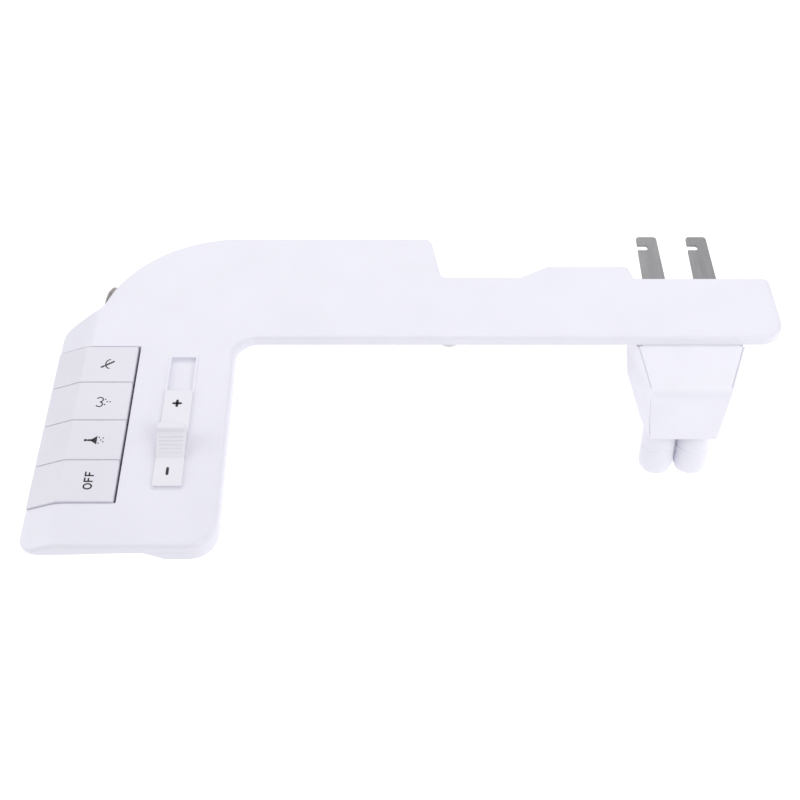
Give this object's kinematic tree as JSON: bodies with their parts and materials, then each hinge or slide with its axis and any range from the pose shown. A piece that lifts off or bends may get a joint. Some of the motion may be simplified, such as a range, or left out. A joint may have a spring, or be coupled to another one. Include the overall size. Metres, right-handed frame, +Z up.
{
  "type": "under-seat bidet attachment",
  "caption": "Slim white L-shaped bidet attachment with a piano-key panel, a pressure slider, twin nozzles behind a hinged guard, and rear hook plates.",
  "frame": {"origin": "on the flat underside of the arm, on the nozzles' centre plane (X = 0) and near the middle of the arm's depth (Y = 0)", "axes": "+X along the arm and away from the control panel, +Y to the rear (the seat hinges), +Z up out of the top cover"},
  "size_m": [0.3266, 0.1891, 0.0819],
  "materials": {
    "white_gloss": "satin-gloss moulded ABS",
    "key_white": "slightly warmer satin-gloss ABS",
    "natural_plastic": "natural acetal",
    "stainless": "dull rolled stainless",
    "spring_steel": "drawn wire",
    "nickel": "satin nickel over brass",
    "rubber": "matt elastomer",
    "pale_rubber": "pale silicone"
  },
  "bodies": {
    "casing": {"arm_bottom_cover": "white_gloss", "guard_hinge_pin": "stainless", "holder_screw_left": "stainless", "holder_screw_right": "stainless", "hook_plate_left": "stainless", "hook_plate_right": "stainless", "hook_screw_left": "stainless", "hook_screw_right": "stainless", "inlet_filter": "stainless", "inlet_fitting": "nickel", "inlet_tube": "natural_plastic", "key_pivot_shaft": "stainless", "key_spring_front_wash": "spring_steel", "key_spring_nozzle_clean": "spring_steel", "key_spring_off": "spring_steel", "key_spring_rear_wash": "spring_steel", "latch_spring": "spring_steel", "nozzle_holder": "natural_plastic", "nozzle_housing": "white_gloss", "nozzle_sleeve_front": "white_gloss", "nozzle_sleeve_rear": "white_gloss", "nozzle_spring_front": "spring_steel", "nozzle_spring_rear": "spring_steel", "panel_tray": "white_gloss", "regulator_body": "natural_plastic", "rest_pad_1": "pale_rubber", "rest_pad_2": "pale_rubber", "rest_pad_3": "pale_rubber", "rest_pad_4": "pale_rubber", "riser_seal_1": "rubber", "riser_seal_2": "rubber", "riser_seal_3": "rubber", "slider_track": "white_gloss", "top_cover": "white_gloss", "tray_screw_1": "stainless", "tray_screw_2": "stainless", "tray_screw_3": "stainless", "valve_body": "natural_plastic", "water_channel_plate": "natural_plastic"},
    "key_nozzle_clean_body": {"key_nozzle_clean": "key_white"},
    "key_rear_wash_body": {"key_rear_wash": "key_white"},
    "key_front_wash_body": {"key_front_wash": "key_white"},
    "key_off_body": {"key_off": "key_white"},
    "plunger_nozzle_clean_body": {"plunger_nozzle_clean": "natural_plastic"},
    "plunger_rear_wash_body": {"plunger_rear_wash": "natural_plastic"},
    "plunger_front_wash_body": {"plunger_front_wash": "natural_plastic"},
    "latch": {"latch_bar": "stainless"},
    "slider": {"pressure_slider": "key_white", "slider_rack": "natural_plastic"},
    "regulator": {"regulator_pinion": "natural_plastic", "regulator_spindle": "stainless"},
    "guard": {"nozzle_guard": "white_gloss"},
    "nozzle_rear": {"nozzle_rear_wash": "white_gloss", "piston_seal_rear": "rubber"},
    "nozzle_front": {"nozzle_front_wash": "white_gloss", "piston_seal_front": "rubber"}
  },
  "joints": [
    {"name": "key_nozzle_clean_press", "type": "hinge", "parent": "casing", "child": "key_nozzle_clean_body", "pos_m": [-0.277, -0.0368, -0.0038], "axis": [0, 1, 0], "range_deg": [0, 4.2], "stiffness_Nm_per_rad": 0.6, "deforming": ["key_spring_nozzle_clean"]},
    {"name": "key_rear_wash_press", "type": "hinge", "parent": "casing", "child": "key_rear_wash_body", "pos_m": [-0.277, -0.0586, -0.0038], "axis": [0, 1, 0], "range_deg": [0, 4.2], "stiffness_Nm_per_rad": 0.6, "deforming": ["key_spring_rear_wash"]},
    {"name": "key_front_wash_press", "type": "hinge", "parent": "casing", "child": "key_front_wash_body", "pos_m": [-0.277, -0.0804, -0.0038], "axis": [0, 1, 0], "range_deg": [0, 4.2], "stiffness_Nm_per_rad": 0.6, "deforming": ["key_spring_front_wash"]},
    {"name": "key_off_press", "type": "hinge", "parent": "casing", "child": "key_off_body", "pos_m": [-0.277, -0.1022, -0.0038], "axis": [0, 1, 0], "range_deg": [0, 4.2], "stiffness_Nm_per_rad": 0.6, "deforming": ["key_spring_off"]},
    {"name": "plunger_nozzle_clean_slide", "type": "slide", "parent": "casing", "child": "plunger_nozzle_clean_body", "axis": [0, 0, -1], "range_m": [0, 0.00164]},
    {"name": "plunger_rear_wash_slide", "type": "slide", "parent": "casing", "child": "plunger_rear_wash_body", "axis": [0, 0, -1], "range_m": [0, 0.00164]},
    {"name": "plunger_front_wash_slide", "type": "slide", "parent": "casing", "child": "plunger_front_wash_body", "axis": [0, 0, -1], "range_m": [0, 0.00164]},
    {"name": "latch_slide", "type": "slide", "parent": "casing", "child": "latch", "axis": [0, 1, 0], "range_m": [0, 0.002], "stiffness_N_per_m": 300, "deforming": ["latch_spring"]},
    {"name": "pressure_slide", "type": "slide", "parent": "casing", "child": "slider", "axis": [0, 1, 0], "range_m": [0, 0.02]},
    {"name": "regulator_turn", "type": "hinge", "parent": "casing", "child": "regulator", "pos_m": [-0.238, -0.069, -0.0044], "axis": [0, 0, 1], "range_deg": [0, 152.99]},
    {"name": "guard_swing", "type": "hinge", "parent": "casing", "child": "guard", "pos_m": [0, -0.0178, -0.0044], "axis": [-1, 0, 0], "range_deg": [0, 45]},
    {"name": "nozzle_rear_extend", "type": "slide", "parent": "casing", "child": "nozzle_rear", "axis": [0, -0.2419, -0.9703], "range_m": [0, 0.018], "stiffness_N_per_m": 60, "deforming": ["nozzle_spring_rear"]},
    {"name": "nozzle_front_extend", "type": "slide", "parent": "casing", "child": "nozzle_front", "axis": [0, -0.2419, -0.9703], "range_m": [0, 0.018], "stiffness_N_per_m": 60, "deforming": ["nozzle_spring_front"]}
  ],
  "couplings": [
    {"joint": "plunger_nozzle_clean_slide", "follows": "key_nozzle_clean_press", "m_per_rad": 0.021},
    {"joint": "plunger_rear_wash_slide", "follows": "key_rear_wash_press", "m_per_rad": 0.021},
    {"joint": "plunger_front_wash_slide", "follows": "key_front_wash_press", "m_per_rad": 0.021},
    {"joint": "regulator_turn", "follows": "pressure_slide", "rad_per_m": 133.33}
  ]
}
